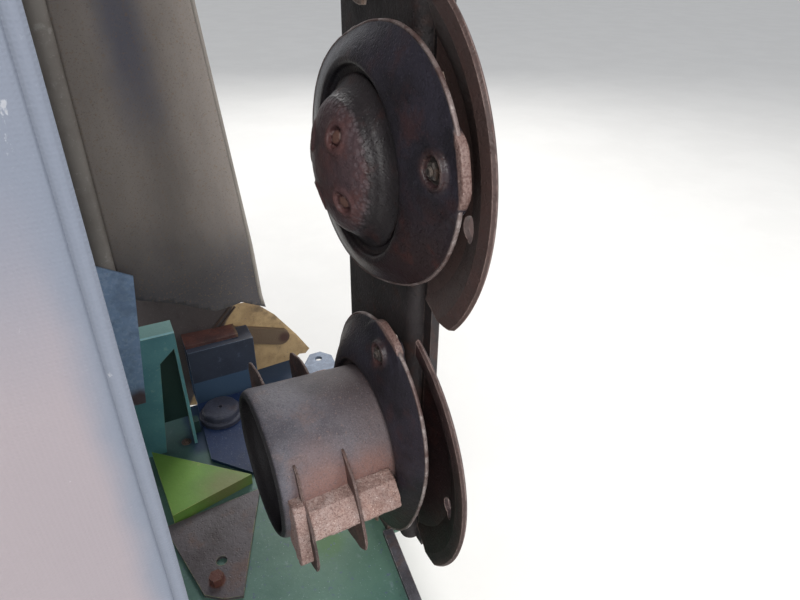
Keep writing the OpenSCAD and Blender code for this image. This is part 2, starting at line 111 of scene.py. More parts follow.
class Paint:
    """A node material built step by step: self.colour and self.height are the running results."""

    def __init__(self, name, colour, rough=0.6, metal=0.0, spec=0.4):
        self.material = bpy.data.materials.new(name)
        self.material.use_nodes = True
        self.tree = self.material.node_tree
        self.tree.nodes.clear()
        out = self.new("ShaderNodeOutputMaterial")
        self.shader = self.new("ShaderNodeBsdfPrincipled")
        self.tree.links.new(self.shader.outputs[0], out.inputs[0])
        self.place = self.new("ShaderNodeTexCoord").outputs["Object"]
        self.shader.inputs["Metallic"].default_value = metal
        self.shader.inputs["Specular IOR Level"].default_value = spec
        self.material.diffuse_color = rgb(colour)
        self.colour = rgb(colour)
        self.height = None
        self.rough = rough
        self.seed = sum(ord(c) for c in name) % 97 / 7.0

    def new(self, kind, **kw):
        n = self.tree.nodes.new(kind)
        for k, v in kw.items():
            setattr(n, k, v)
        return n

    def put(self, socket, v):
        if isinstance(v, bpy.types.NodeSocket):
            self.tree.links.new(v, socket)
        else:
            socket.default_value = v

    def math(self, op, a, b=0.0, c=0.0):
        n = self.new("ShaderNodeMath", operation=op)
        self.put(n.inputs[0], a)
        self.put(n.inputs[1], b)
        self.put(n.inputs[2], c)
        return n.outputs[0]

    def times(self, a, b):
        return self.math("MULTIPLY", a, b)

    def minus(self, a, b):
        return self.math("SUBTRACT", a, b)

    def step(self, v, lo, hi):
        """Smooth mask: 0 at lo and 1 at hi, whichever of them is larger."""
        n = self.new("ShaderNodeMapRange", interpolation_type="SMOOTHSTEP")
        self.put(n.inputs["Value"], v)
        flip = lo > hi
        n.inputs["From Min"].default_value = min(lo, hi)
        n.inputs["From Max"].default_value = max(lo, hi)
        n.inputs["To Min"].default_value = 1.0 if flip else 0.0
        n.inputs["To Max"].default_value = 0.0 if flip else 1.0
        return n.outputs["Result"]

    def where(self, stretch):
        if stretch == (1, 1, 1):
            return self.place
        n = self.new("ShaderNodeMapping")
        self.put(n.inputs["Vector"], self.place)
        n.inputs["Scale"].default_value = stretch
        return n.outputs[0]

    def noise(self, scale, detail=4.0, rough=0.6, stretch=(1, 1, 1)):
        n = self.new("ShaderNodeTexNoise", noise_dimensions="4D")
        self.put(n.inputs["Vector"], self.where(stretch))
        self.seed += 1.7
        n.inputs["W"].default_value = self.seed
        n.inputs["Scale"].default_value = scale
        n.inputs["Detail"].default_value = detail
        n.inputs["Roughness"].default_value = rough
        return n.outputs["Fac"]

    def cells(self, scale):
        n = self.new("ShaderNodeTexVoronoi", feature="F1")
        self.put(n.inputs["Vector"], self.place)
        n.inputs["Scale"].default_value = scale
        return n.outputs["Distance"]

    def axis(self, k):
        n = self.new("ShaderNodeSeparateXYZ")
        self.put(n.inputs[0], self.place)
        return n.outputs[k]

    def ragged(self, v, amount, scale=60.0):
        return self.math("ADD", v, self.times(self.minus(self.noise(scale, 5), 0.5), amount))

    def near(self, point, r0, r1, raggedness=0.0):
        """Spot round a point: full inside r0, gone outside r1."""
        n = self.new("ShaderNodeVectorMath", operation="DISTANCE")
        self.put(n.inputs[0], self.place)
        n.inputs[1].default_value = point
        v = n.outputs["Value"]
        if raggedness:
            v = self.ragged(v, raggedness)
        return self.step(v, r1, r0)

    def round_r(self, y, z):
        """Distance from a line along X."""
        a = self.minus(self.axis(1), y)
        b = self.minus(self.axis(2), z)
        return self.math("SQRT", self.math("ADD", self.times(a, a), self.times(b, b)))

    def edge(self, radius=0.0022):
        """Mask of the outer edges, from the angle between the rounded and the true normal."""
        n = self.new("ShaderNodeBevel", samples=4)
        n.inputs["Radius"].default_value = radius
        g = self.new("ShaderNodeNewGeometry")
        d = self.new("ShaderNodeVectorMath", operation="DOT_PRODUCT")
        self.tree.links.new(n.outputs[0], d.inputs[0])
        self.tree.links.new(g.outputs["Normal"], d.inputs[1])
        return self.step(d.outputs["Value"], 0.995, 0.86)

    def lay(self, mask, colour, strength=1.0):
        n = self.new("ShaderNodeMix", data_type="RGBA")
        f = mask if strength == 1.0 else self.times(mask, strength)
        self.put(n.inputs[0], f)
        self.put(n.inputs[6], self.colour)
        self.put(n.inputs[7], rgb(colour))
        self.colour = n.outputs[2]

    def blotch(self, colour, scale, lo, hi, strength, detail=6.0, stretch=(1, 1, 1), inside=None):
        f = self.step(self.noise(scale, detail, 0.65, stretch), lo, hi)
        if inside is not None:
            f = self.times(f, inside)
        self.lay(f, colour, strength)

    def bump(self, v, amount):
        v = self.times(v, amount)
        self.height = v if self.height is None else self.math("ADD", self.height, v)

    def done(self, spread=None):
        """Joins the running results to the shader; spread is how far the roughness varies."""
        self.put(self.shader.inputs["Base Color"], self.colour)
        r = self.rough
        if spread:
            r = self.math("ADD", self.times(self.noise(70, 5), spread), self.rough - spread / 2)
        self.put(self.shader.inputs["Roughness"], r)
        if self.height is not None:
            n = self.new("ShaderNodeBump")
            n.inputs["Strength"].default_value = 1.0
            n.inputs["Distance"].default_value = 0.001
            self.put(n.inputs["Height"], self.height)
            self.tree.links.new(n.outputs[0], self.shader.inputs["Normal"])
        return self.material


def rust_steel(name, dark, mid, rust, light, edge, pits=260, rough=0.62, edge_to=0.8, grain=1.0):
    """Weathered steel: brown and dark clouds, fine pitting, rust blooms and worn light edges."""
    p = Paint(name, mid, rough)
    p.blotch(dark, 14, 0.40, 0.66, 0.9)
    p.blotch(rust, 26, 0.50, 0.66, 0.75)
    p.blotch(light, 90, 0.56, 0.74, 0.35)
    p.blotch(dark, 330, 0.54, 0.70, 0.55 * grain, 3)
    p.blotch(light, 520, 0.58, 0.72, 0.4 * grain, 2)
    if edge_to:
        worn = p.times(p.edge(), p.step(p.noise(55, 5), 0.36, 0.6))
        p.lay(worn, edge, edge_to)
    p.bump(p.noise(pits, 5), 0.9)
    p.bump(p.step(p.cells(pits * 0.8), 0.05, 0.35), 0.35)
    p.bump(p.noise(30, 3), 0.8)
    return p


def old_paint(name, base, shade, scuff, chip, edge=None, rough=0.5, chips=0.62, scuffs=0.6):
    """Faded paint: shade clouds, scuffs, chips down to rust and dust in the grain."""
    p = Paint(name, base, rough)
    p.blotch(shade, 9, 0.40, 0.66, 0.7)
    p.blotch(scuff, 38, scuffs, scuffs + 0.08, 0.65, 8, (1, 0.6, 1))
    p.blotch(scuff, 210, 0.60, 0.68, 0.55, 3)
    flake = p.step(p.noise(60, 8, 0.7), chips, chips + 0.03)
    p.lay(flake, chip, 0.9)
    if edge:
        worn = p.times(p.edge(0.002), p.step(p.noise(45, 4), 0.34, 0.56))
        p.lay(worn, edge, 0.9)
    p.bump(flake, -0.5)
    p.bump(p.noise(160, 4), 0.35)
    p.bump(p.noise(22, 3), 0.5)
    return p


def cloth(name, base, shade, speck, rough=0.78, specks=0.62):
    """Coated cloth: fine weave under the coat, dust specks and broad faded clouds."""
    p = Paint(name, base, rough, 0.0, 0.25)
    p.blotch(shade, 5, 0.38, 0.70, 0.75, 4, (2.0, 2.0, 0.6))
    p.blotch(speck, 420, specks, specks + 0.06, 0.6, 2)
    p.blotch(shade, 190, 0.58, 0.68, 0.45, 3)
    threads = []
    for across in "ZX":
        n = p.new("ShaderNodeTexWave", wave_type="BANDS", bands_direction=across)
        n.inputs["Scale"].default_value = 150
        p.put(n.inputs["Vector"], p.place)
        threads.append(n.outputs["Fac"])
    p.bump(p.math("MAXIMUM", *threads), 0.10)
    p.bump(p.noise(260, 3), 0.2)
    p.bump(p.noise(12, 3), 1.6)
    p.shader.inputs["Sheen Weight"].default_value = 0.08
    return p


finish = {}
# key, name, dark, middle, rust, light and edge colours, fineness of the pits, roughness,
# strength of the worn edges, spread of the roughness
for key, name, dark, mid, rust, light, edge, pits, rough, worn_edges, spread in (
        ("case", "case_dark", (28, 24, 24), (48, 43, 44), (64, 42, 36), (76, 71, 74), (104, 90, 84),
         240, 0.62, 0.8, 0.2),
        ("spindle", "spindle_dark", (36, 33, 32), (60, 56, 54), (84, 60, 48), (100, 94, 90),
         (130, 120, 112), 240, 0.45, 0.8, 0.2),
        ("foot", "foot_dark", (36, 34, 34), (62, 58, 58), (84, 58, 46), (92, 86, 84), (120, 108, 100),
         200, 0.62, 0.8, 0.2),
        ("knife", "knife_steel", (74, 58, 50), (122, 104, 92), (128, 84, 62), (168, 150, 140),
         (196, 186, 178), 300, 0.48, 0.9, 0.2),
        ("shaft", "shaft_steel", (58, 54, 52), (104, 98, 94), (96, 76, 62), (150, 146, 142),
         (178, 172, 166), 300, 0.34, 0.7, 0.15),
        ("nut", "nut_rust", (54, 34, 28), (96, 64, 52), (124, 74, 52), (136, 108, 96), (150, 130, 120),
         320, 0.6, 0.8, 0.15),
        ("bolt", "bolt_zinc", (70, 66, 64), (116, 110, 106), (120, 84, 60), (160, 156, 152),
         (186, 182, 176), 320, 0.45, 0.7, 0.15),
        ("cap", "cap_mauve", (42, 44, 56), (62, 65, 80), (74, 62, 66), (90, 92, 106), (108, 104, 110),
         200, 0.5, 0.5, 0.2),
        ("edge", "edge_bar", (54, 52, 56), (86, 84, 90), (84, 68, 62), (120, 118, 124),
         (158, 152, 150), 240, 0.5, 0.9, 0.2),
        ("rib", "rib_worn", (48, 36, 36), (88, 68, 64), (116, 80, 70), (136, 116, 110),
         (196, 176, 166), 260, 0.55, 0.95, 0.2),
        ("seam", "flap_seam", (44, 36, 34), (62, 50, 44), (74, 58, 46), (88, 74, 62), None,
         220, 0.7, 0, 0.1)):
    finish[key] = rust_steel(name, dark, mid, rust, light, edge, pits, rough, worn_edges).done(spread)

# from here on, p is the material at work
p = rust_steel("guard_rust", (28, 18, 19), (41, 26, 27), (60, 31, 28), (70, 53, 54), (172, 148, 140),
               230, 0.5, 0.95)
p.lay(p.step(p.ragged(p.round_r(AXIS_Y, AXIS_Z), 0.02), 0.208, 0.222), (120, 98, 92), 0.3)
p.blotch((92, 56, 48), 130, 0.60, 0.68, 0.4, 4)
finish["guard"] = p.done(0.25)


def disc_paint(i):
    """Blue-black steel, red-brown on its lower half, with a worn tip and rusty bolt seats."""
    p = rust_steel("disc_steel_%d" % i, (27, 24, 28), (46, 43, 52), (60, 40, 41), (74, 73, 86),
                   (184, 164, 152), 260, 0.38, 0.95, 0.8)
    cz = at(0, 0, disc_z(i)).z
    low = p.step(p.ragged(p.minus(p.axis(2), cz), 0.08, 18), 0.04, -0.07)
    p.lay(low, (38, 19, 18), 0.88)
    p.blotch((68, 34, 29), 34, 0.52, 0.66, 0.6, 5, inside=low)
    r = p.round_r(AXIS_Y, cz)
    # painted shade in the cup round the hub
    p.lay(p.step(r, 0.124, 0.108), (28, 25, 28), 0.75)
    tip = p.step(p.ragged(r, 0.005, 120), 0.1955, 0.1985)
    p.lay(tip, (136, 112, 105), 0.8)
    p.blotch((84, 57, 52), 420, 0.46, 0.58, 0.7, 3, inside=tip)
    p.blotch((176, 158, 150), 300, 0.60, 0.70, 0.6, 3, inside=tip)
    for k in (0, 180):
        ring = p.near(round_spot(-8, KNIFE_BOLT_R, disc_turn(i) + k, i), 0.014, 0.024, 0.006)
        p.lay(ring, (80, 54, 50), 0.45)
        p.blotch((112, 80, 72), 260, 0.54, 0.66, 0.4, 3, inside=ring)
    return p.done(0.25)


def dome_paint(i):
    """Dark casting with a rusty cap, a scaly band below it and rusty bolt wells."""
    p = rust_steel("dome_cast_%d" % i, (27, 23, 25), (41, 36, 38), (58, 35, 33), (68, 63, 69),
                   (112, 94, 90), 240, 0.46, 0.6, 0.9)
    h = p.minus(0.150, p.axis(0))   # height over the disc's rim
    cap = p.step(p.ragged(h, 0.016, 45), 0.036, 0.044)
    p.lay(cap, (76, 60, 63), 0.9)
    p.blotch((90, 58, 55), 30, 0.46, 0.62, 0.6, inside=cap)
    p.blotch((110, 94, 96), 340, 0.58, 0.68, 0.4, 3, inside=cap)
    p.blotch((48, 37, 41), 60, 0.54, 0.66, 0.65, inside=cap)
    band = p.times(p.step(p.ragged(h, 0.012, 60), 0.030, 0.038),
                   p.step(p.ragged(h, 0.012, 60), 0.052, 0.045))
    scales = p.step(p.cells(170), 0.5, 0.3)
    p.lay(p.times(band, scales), (108, 98, 102), 0.3)
    p.bump(p.times(band, p.cells(170)), 1.0)
    for k in range(4):
        hole = round_spot(-52, HUB_BOLT_R, disc_turn(i) - 90 * k - 44, i)
        rust = p.near(hole, 0.012, 0.028, 0.012)
        p.lay(rust, (92, 60, 57), 0.5)
        p.lay(p.near(hole, 0.009, 0.013), (56, 33, 33), 0.6)
        p.lay(p.near(hole, 0.005, 0.0085, 0.003), (114, 84, 72), 0.65)
    return p.done(0.25)


# Drum materials
def drum_paint():
    """Grey-brown steel with rust by the bars; painted shade on its open rim and inside."""
    p = rust_steel("drum_steel", (74, 72, 80), (104, 102, 110), (114, 98, 97), (128, 124, 129),
                   (160, 146, 138), 300, 0.55, 0.5)
    p.lay(p.step(p.ragged(p.axis(0), 0.03, 30), 0.030, 0.13), (108, 91, 89), 0.6)
    # spots: place along the drum, angle, inner and outer radius, colour, strength
    for x, angle, r0, r1, colour, strength in (
            (-115, 172, 0.022, 0.062, (134, 98, 88), 0.85), (-50, 172, 0.016, 0.06, (130, 94, 84), 0.8),
            (-120, 145, 0.01, 0.05, (122, 96, 92), 0.5), (-40, 80, 0.03, 0.10, (66, 56, 58), 0.7),
            (-92, 88, 0.004, 0.026, (56, 54, 60), 0.55), (-60, -20, 0.03, 0.08, (120, 86, 76), 0.7)):
        p.lay(p.near(round_spot(x, TOP_R, angle), r0, r1, 0.02), colour, strength)
    # painted shade on the last millimetres of the open rim
    p.lay(p.step(p.ragged(p.axis(0), 0.006, 60), -0.0215, -0.0255), (50, 49, 55), 0.8)
    p.blotch((146, 120, 110), 240, 0.60, 0.70, 0.45, 3)
    p.blotch((70, 66, 73), 460, 0.51, 0.62, 0.42, 3)
    p.blotch((146, 139, 143), 760, 0.56, 0.67, 0.42, 2)
    p.bump(p.noise(520, 3), 0.8)
    # painted shade inside the drum, within its wall
    wall = p.minus(p.round_r(AXIS_Y, AXIS_Z), p.times(p.minus(0.126, p.axis(0)), 0.041))
    p.lay(p.step(wall, 0.098, 0.0965), (32, 30, 32), 0.9)
    return p.done(0.2)


def bar_paint():
    """Pitted pink-brown bars and lumps of the drum's paddles."""
    p = Paint("bar_pitted", (158, 134, 127), 0.7)
    p.blotch((176, 160, 155), 40, 0.46, 0.66, 0.6)
    p.blotch((160, 124, 110), 24, 0.50, 0.66, 0.5)
    p.blotch((116, 84, 75), 520, 0.48, 0.60, 0.65, 3)
    p.blotch((84, 58, 54), 330, 0.55, 0.65, 0.7, 4)
    p.blotch((120, 92, 84), 60, 0.50, 0.64, 0.5, 5)
    p.blotch((224, 206, 196), 420, 0.60, 0.70, 0.6, 2)
    p.bump(p.noise(330, 4), 1.6)
    p.bump(p.noise(90, 4), 1.2)
    return p.done(0.2)


finish["drum"], finish["bar"] = drum_paint(), bar_paint()

# Painted frame pieces
p = old_paint("deck_green", (92, 124, 114), (72, 104, 96), (126, 146, 152), (58, 62, 74),
              None, 0.5, 0.66)
p.lay(p.near(at(-40, 60, -DROP), 0.05, 0.22, 0.08), (82, 110, 88), 0.5)
p.lay(p.near(at(-75, 40, -DROP), 0.01, 0.05, 0.03), (74, 112, 58), 0.7)
p.blotch((84, 96, 122), 110, 0.60, 0.66, 0.8)
p.blotch((150, 168, 176), 300, 0.64, 0.70, 0.8, 3)
for x, y in BORED:
    p.lay(p.near(at(x, y, -DROP), 0.010, 0.022, 0.006), (34, 42, 50), 0.7)
# painted shade: the deck darker towards the rear
p.lay(p.step(p.ragged(p.axis(1), 0.05, 25), 0.19, 0.27), (50, 76, 78), 0.6)
blue = p.times(p.step(p.ragged(p.axis(0), 0.012, 50), -0.103, -0.080),
               p.step(p.ragged(p.axis(1), 0.01, 40), 0.280, 0.305))
p.lay(blue, (34, 50, 78), 0.88)
finish["deck"] = p.done(0.2)
p = old_paint("panel_green", (97, 150, 156), (76, 128, 138), (126, 168, 168), (70, 62, 50),
              (128, 156, 132), 0.45, 0.68)
# painted shade: the web behind the cut-out is darker than the panel, and its top less so
p.lay(p.times(p.step(p.axis(1), 0.328, 0.333), p.step(p.axis(2), 0.346, 0.340)), (26, 40, 30), 0.88)
p.lay(p.times(p.step(p.axis(1), 0.329, 0.334), p.step(p.axis(2), 0.340, 0.346)), (52, 92, 78), 0.7)
finish["panel"] = p.done(0.2)
finish["green"] = old_paint("frame_green", (66, 112, 84), (50, 88, 68), (104, 138, 120), (84, 58, 46),
                       (150, 160, 96), 0.45, 0.64).done(0.2)
p = old_paint("gusset_lime", (112, 152, 68), (94, 130, 62), (140, 150, 92), (66, 62, 40),
              (176, 180, 108), 0.5, 0.69)
p.lay(p.near(at(-200, 215, -246), 0.01, 0.075, 0.03), (128, 112, 84), 0.6)
finish["gusset"] = p.done(0.2)
p = rust_steel("wear_plate", (70, 62, 64), (96, 90, 94), (104, 82, 76), (122, 118, 122),
               (150, 158, 96), 200, 0.5, 0.9)
p.lay(p.near(at(-264, 44, -256), 0.014, 0.018, 0.003), (104, 60, 50), 0.85)
finish["wear"] = p.done(0.2)
p = old_paint("pivot_blue", (20, 42, 80), (14, 30, 60), (44, 70, 106), (32, 33, 38),
              (96, 110, 122), 0.58, 0.66)
p.blotch((120, 130, 134), 380, 0.62, 0.70, 0.5, 2)
finish["pivot"] = p.done(0.2)
p = old_paint("tube_slate", (48, 54, 68), (38, 42, 54), (70, 80, 96), (60, 48, 44),
              (104, 118, 138), 0.5, 0.68)
# painted light: the bottom strip a lighter blue, as lit by the sky
p.lay(p.step(p.ragged(p.axis(2), 0.002, 30), 0.1395, 0.1375), (58, 80, 104), 0.85)
finish["tube"] = p.done(0.2)
p = rust_steel("tie_rust", (58, 40, 40), (86, 55, 50), (104, 62, 52), (106, 82, 76),
               (138, 112, 100), 220, 0.65, 0.5)
p.lay(p.step(p.ragged(p.axis(0), 0.006, 60), 0.052, 0.062), (98, 83, 66), 0.9)
p.lay(p.near(at(24, 571, -192), 0.008, 0.020, 0.004), (66, 43, 39), 0.9)
finish["tie"] = p.done(0.2)


def zinc(name, base, dark, light):
    """Galvanised steel: spangles, dull clouds and a few rust specks."""
    p = Paint(name, base, 0.42, 0.25)
    c = p.new("ShaderNodeTexVoronoi", feature="F1")
    p.put(c.inputs["Vector"], p.place)
    c.inputs["Scale"].default_value = 190
    s = p.new("ShaderNodeSeparateColor")
    p.tree.links.new(c.outputs["Color"], s.inputs[0])
    p.lay(p.step(s.outputs[0], 0.3, 1.0), light, 0.5)
    p.blotch(dark, 30, 0.45, 0.65, 0.6)
    p.blotch((96, 70, 56), 60, 0.66, 0.72, 0.8)
    p.bump(p.noise(200, 4), 0.4)
    return p


p = zinc("galvanised", (142, 168, 204), (112, 134, 166), (172, 194, 220))
p.lay(p.near(at(-314, 380, -118), 0.01, 0.03, 0.012), (92, 58, 44), 0.85)
finish["zinc"] = p.done(0.2)
finish["tab"] = zinc("tab_blue", (84, 95, 112), (62, 72, 88), (112, 124, 142)).done(0.2)
finish["rail"] = old_paint("rail_dusty", (140, 134, 128), (112, 104, 98), (166, 162, 156), (96, 76, 60),
                      (178, 172, 166), 0.5, 0.66).done(0.2)

# near curtain: bluish in the shade, warm where the sun shines through its lower part
p = cloth("curtain_near", (141, 141, 146), (124, 126, 133), (168, 168, 172), 0.78, 0.66)
p.lay(p.step(p.ragged(p.axis(0), 0.03, 6), -0.222, -0.172), (110, 118, 133), 0.8)
warm = p.times(p.step(p.ragged(p.axis(0), 0.012, 20), -0.154, -0.172),
               p.step(p.ragged(p.axis(2), 0.06, 9), 0.925, 0.80))
p.lay(warm, (148, 139, 143), 0.9)
p.blotch((196, 196, 198), 70, 0.66, 0.69, 0.4, 6, (1, 1, 0.5))
finish["near"] = p.done(0.1)
# far curtain: a slanting band of bluish painted shade in its upper part, and painted shade at its lower
# end
p = cloth("curtain_far", (146, 138, 132), (124, 117, 113), (98, 89, 83), 0.8, 0.61)
slant = p.minus(p.axis(0), p.times(p.minus(p.axis(2), 0.9), -0.035))
band = p.times(p.step(p.ragged(slant, 0.04, 8), -0.115, -0.07),
               p.step(p.ragged(slant, 0.04, 8), -0.01, -0.05))
band = p.times(band, p.step(p.ragged(p.axis(2), 0.2, 5), 0.66, 0.86))
p.lay(band, (84, 88, 106), 0.7)
p.lay(p.step(p.ragged(p.axis(2), 0.10, 9), 0.60, 0.42), (54, 56, 66), 0.75)
p.blotch((134, 112, 88), 300, 0.56, 0.66, 0.5, 3)
finish["far"] = p.done(0.1)
finish["cover"] = cloth("cover_grey", (132, 134, 138), (108, 110, 116), (170, 170, 172)).done(0.1)
finish["hem"] = cloth("hem_grey", (158, 151, 144), (132, 126, 121), (182, 176, 168)).done(0.1)
# the flap is tan: its right part is painted in sunlight, the rest darker grey as painted shade
p = Paint("flap_rubber", (70, 64, 64), 0.75)
slant = p.minus(p.axis(0), p.times(p.minus(p.axis(2), 0.20), 0.55))
sunlit_tan_half = p.step(p.ragged(slant, 0.006, 60), 0.022, 0.030)
p.lay(sunlit_tan_half, (176, 150, 110), 0.95)
p.blotch((134, 110, 80), 22, 0.44, 0.66, 0.6, inside=sunlit_tan_half)
p.blotch((50, 42, 44), 18, 0.46, 0.66, 0.5)
p.blotch((92, 86, 88), 260, 0.58, 0.68, 0.5, 3)
p.bump(p.noise(120, 4), 0.6)
p.bump(p.noise(18, 3), 1.2)
finish["flap"] = p.done(0.1)


def wear(node, key):
    """Gives a node of the frame its material."""
    mats = nodes[node].data.materials
    mats.clear()
    mats.append(finish[key])


for node, key in (
        ("gear_case", "case"), ("spindle_housings", "spindle"), ("case_feet", "foot"),
        ("drive_shaft", "shaft"), ("deck_plate", "deck"), ("deck_edge_bar", "edge"),
        ("rear_tab", "tab"), ("hinge_ears", "green"), ("lift_ear", "green"), ("wear_plate", "wear"),
        ("gusset_plate", "gusset"), ("pivot_plate", "pivot"), ("pivot_cap", "cap"),
        ("upright_panel", "panel"), ("box_tube", "tube"), ("tie_strip", "tie"),
        ("rail_bracket", "zinc"), ("rear_rail", "rail"), ("front_rail", "rail"),
        ("front_arm", "green"), ("outer_end_plate", "green")):
    wear(node, key)
for i in DISCS:
    wear("rock_guard_%d" % i, "guard")
    for s in "ab":
        wear("knife_%d%s" % (i, s), "knife")


# Mesh helpers
def rework(mesh, job):
    """Does a job on the mesh's bmesh."""
    bm = bmesh.new()
    bm.from_mesh(mesh)
    job(bm)
    bm.to_mesh(mesh)
    bm.free()


def face_out(bm):
    bmesh.ops.recalc_face_normals(bm, faces=bm.faces)


def merge_doubles(bm):
    bmesh.ops.remove_doubles(bm, verts=bm.verts, dist=2e-6)


def drop_loose(bm):
    bmesh.ops.delete(bm, geom=[v for v in bm.verts if not v.link_faces], context="VERTS")


def object_from(name, verts, faces, mat, smooth=True):
    mesh = bpy.data.meshes.new(name)
    mesh.from_pydata([tuple(v) for v in verts], [], faces)
    rework(mesh, face_out)
    mesh.polygons.foreach_set("use_smooth", [smooth] * len(mesh.polygons))
    mesh.materials.append(mat)
    o = bpy.data.objects.new(name, mesh)
    bpy.context.collection.objects.link(o)
    return o


def apply_modifiers(o):
    """Applies the object's modifiers."""
    graph = bpy.context.evaluated_depsgraph_get()
    mesh = bpy.data.meshes.new_from_object(o.evaluated_get(graph))
    mats = list(o.data.materials)
    o.modifiers.clear()
    o.data = mesh
    mesh.materials.clear()
    for m in mats:
        mesh.materials.append(m)
    mesh.polygons.foreach_set("use_smooth", [True] * len(mesh.polygons))


def cast(name, source, mat, voxel, rounds, dents):
    """A copy of a solid with softened edges and small dents, as a worn casting has."""
    mesh = source.copy() if isinstance(source, bpy.types.Mesh) else source.data.copy()
    rework(mesh, merge_doubles)
    mesh.materials.clear()
    mesh.materials.append(mat)
    o = bpy.data.objects.new(name, mesh)
    bpy.context.collection.objects.link(o)
    r = o.modifiers.new("voxels", "REMESH")
    r.mode = "VOXEL"
    r.voxel_size = voxel
    s = o.modifiers.new("smooth", "SMOOTH")
    s.factor = 0.5
    s.iterations = rounds
    apply_modifiers(o)
    dent(o, dents)
    return o


def dent(o, dents):
    """Moves the surface in and out by noise; dents are pairs of depth in mm and fineness."""
    mesh = o.data
    normals = [v.normal.copy() for v in mesh.vertices]
    for v, n in zip(mesh.vertices, normals):
        d = 0.0
        for amount, scale in dents:
            d += noise.noise(v.co * scale) * amount
        v.co += n * d / 1000
    mesh.update()


def prism(name, outline, x0, x1):
    """A solid between two places along X; its outline is radii and angles about the drum's axis."""
    mesh = bpy.data.meshes.new(name)
    n = len(outline)
    pts = [(r * math.cos(math.radians(t)), r * math.sin(math.radians(t))) for r, t in outline]
    verts = [at(x, y, z) for x in (x0, x1) for y, z in pts]
    tris = geometry.tessellate_polygon([[Vector((y, z, 0)) for y, z in pts]])
    faces = [tuple(t) for t in tris] + [tuple(a + n for a in reversed(t)) for t in tris]
    faces += [(k, (k + 1) % n, n + (k + 1) % n, n + k) for k in range(n)]
    mesh.from_pydata([tuple(v) for v in verts], [], faces)
    rework(mesh, face_out)
    return mesh


def lathe(name, profile, mat, segs):
    """A body of revolution about the inner disc's axis: rows of height and radius."""
    verts, faces = [], []
    rows = len(profile)
    for h, r in profile:
        for k in range(segs):
            t = 2 * math.pi * k / segs
            verts.append(at(-h, r * math.cos(t), r * math.sin(t)))
    for j in range(rows):
        for k in range(segs):
            a, b = j * segs + k, j * segs + (k + 1) % segs
            c, d = ((j + 1) % rows) * segs + (k + 1) % segs, ((j + 1) % rows) * segs + k
            faces.append((a, b, c, d))
    return object_from(name, verts, faces, mat)


def fine(rows, step):
    """Puts more rows between far ones, all round a closed profile."""
    out = []
    for (h0, r0), (h1, r1) in zip(rows, rows[1:] + rows[:1]):
        n = max(1, int(math.hypot(h1 - h0, r1 - r0) / step))
        out += [(h0 + (h1 - h0) * k / n, r0 + (r1 - r0) * k / n) for k in range(n)]
    return out


# Discs and domes as worn castings, finer on the two that the camera sees whole
for i in DISCS:
    disc_voxel, dome_voxel = (0.0020, 0.0018) if i < 3 else (0.0026, 0.0024)
    d = cast("disc_cast_%d" % i, nodes["disc_%d" % i], disc_paint(i), disc_voxel, 5,
             ((0.35, 28), (0.12, 150)))
    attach(d, "disc_%d" % i)
    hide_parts("disc_%d" % i)
    if i > 1:
        d = cast("dome_cast_%d" % i, nodes["hub_dome_%d" % i], dome_paint(i), dome_voxel, 3,
                 ((0.5, 34), (0.2, 160)))
        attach(d, "disc_%d" % i)
        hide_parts("hub_dome_%d" % i)

# Worn bright rims of the discs' ovals
p = Paint("disc_rim", (120, 106, 103), 0.45, 0.2)
p.blotch((172, 162, 159), 60, 0.48, 0.64, 0.75)
p.blotch((82, 60, 56), 30, 0.46, 0.60, 0.85)
p.blotch((92, 78, 76), 330, 0.56, 0.66, 0.6, 3)
p.bump(p.noise(300, 4), 0.8)
finish["rim"] = p.done(0.2)


def oval_rim(i):
    """A nicked bright band all round the rim of a disc."""
    skew = math.radians(-SKEW if i % 2 else SKEW)
    turn = math.radians(disc_turn(i))
    profile = ((-0.2, -2.0), (-0.6, 0.2), (0.3, 1.2), (3.7, 1.2), (4.6, 0.2), (4.2, -2.0))
    n, m = 300, len(profile)
    verts, faces = [], []
    for k in range(n):
        a = 2 * math.pi * k / n
        r = (DISC_A + DISC_B) / 2 + (DISC_A - DISC_B) / 2 * math.cos(2 * (a - skew))
        nick = 0.5 * noise.noise(Vector((math.cos(a) * 9, math.sin(a) * 9, i)))
        for x, d in profile:
            radius = r + d + (nick if d > 0 else 0)
            verts.append(at(x, radius * math.cos(turn - a), radius * math.sin(turn - a) + disc_z(i)))
    for k in range(n):
        for j in range(m):
            b = (k + 1) % n
            faces.append((k * m + j, b * m + j, b * m + (j + 1) % m, k * m + (j + 1) % m))
    return object_from("disc_rim_%d" % i, verts, faces, finish["rim"])


for i in DISCS:
    o = oval_rim(i)
    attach(o, "disc_%d" % i)
    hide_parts("disc_%d" % i)

# Drum: shell, ribs, bars and lumps
SHELL = [(SEAT, 18), (SEAT, 98.5), (SEAT + 1.5, 100), (SEAT + 14, 100), (END - 12, TOP_R),
         (END - 7, TOP_R - 1), (END - 4, TOP_R - 2.2), (END - 2, TOP_R - 4), (END - 0.6, TOP_R - 5.8),
         (END, TOP_R - 7), (END - 0.6, TOP_R - 8.4), (END - 2, TOP_R - 9), (END - 9, TOP_R - 7),
         (END - 14, TOP_R - 5), (SEAT + 14, 95), (SEAT + 8, 89), (SEAT + 8, 60), (SEAT + 18, 54),
         (SEAT + 18, 18)]
shell = lathe("drum_shell", fine(SHELL, 3.0), finish["drum"], 192)
dent(shell, ((0.5, 22), (0.15, 120)))
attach(shell, "disc_1")
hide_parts("drum")

# outlines of the two ribs: angle from the paddle's, height as a share of RIB_H
RIB = [(-29, -0.1), (-25, 0.03), (-18, 0.13), (-9, 0.33), (-1, 0.44), (7, 0.55), (14, 0.68),
       (20, 0.82), (26, 0.97), (31, 1.0), (36, 0.88), (41, 0.68), (53, 0.36), (66, -0.1)]
END_RIB = [(-31, -0.1), (-26, 0.06), (-20, 0.14), (-9, 0.14), (0, 0.22), (6, 0.46), (14, 0.68),
           (22, 0.86), (28, 0.97), (34, 0.98), (39, 0.8), (44, 0.6), (54, 0.3), (64, -0.1)]


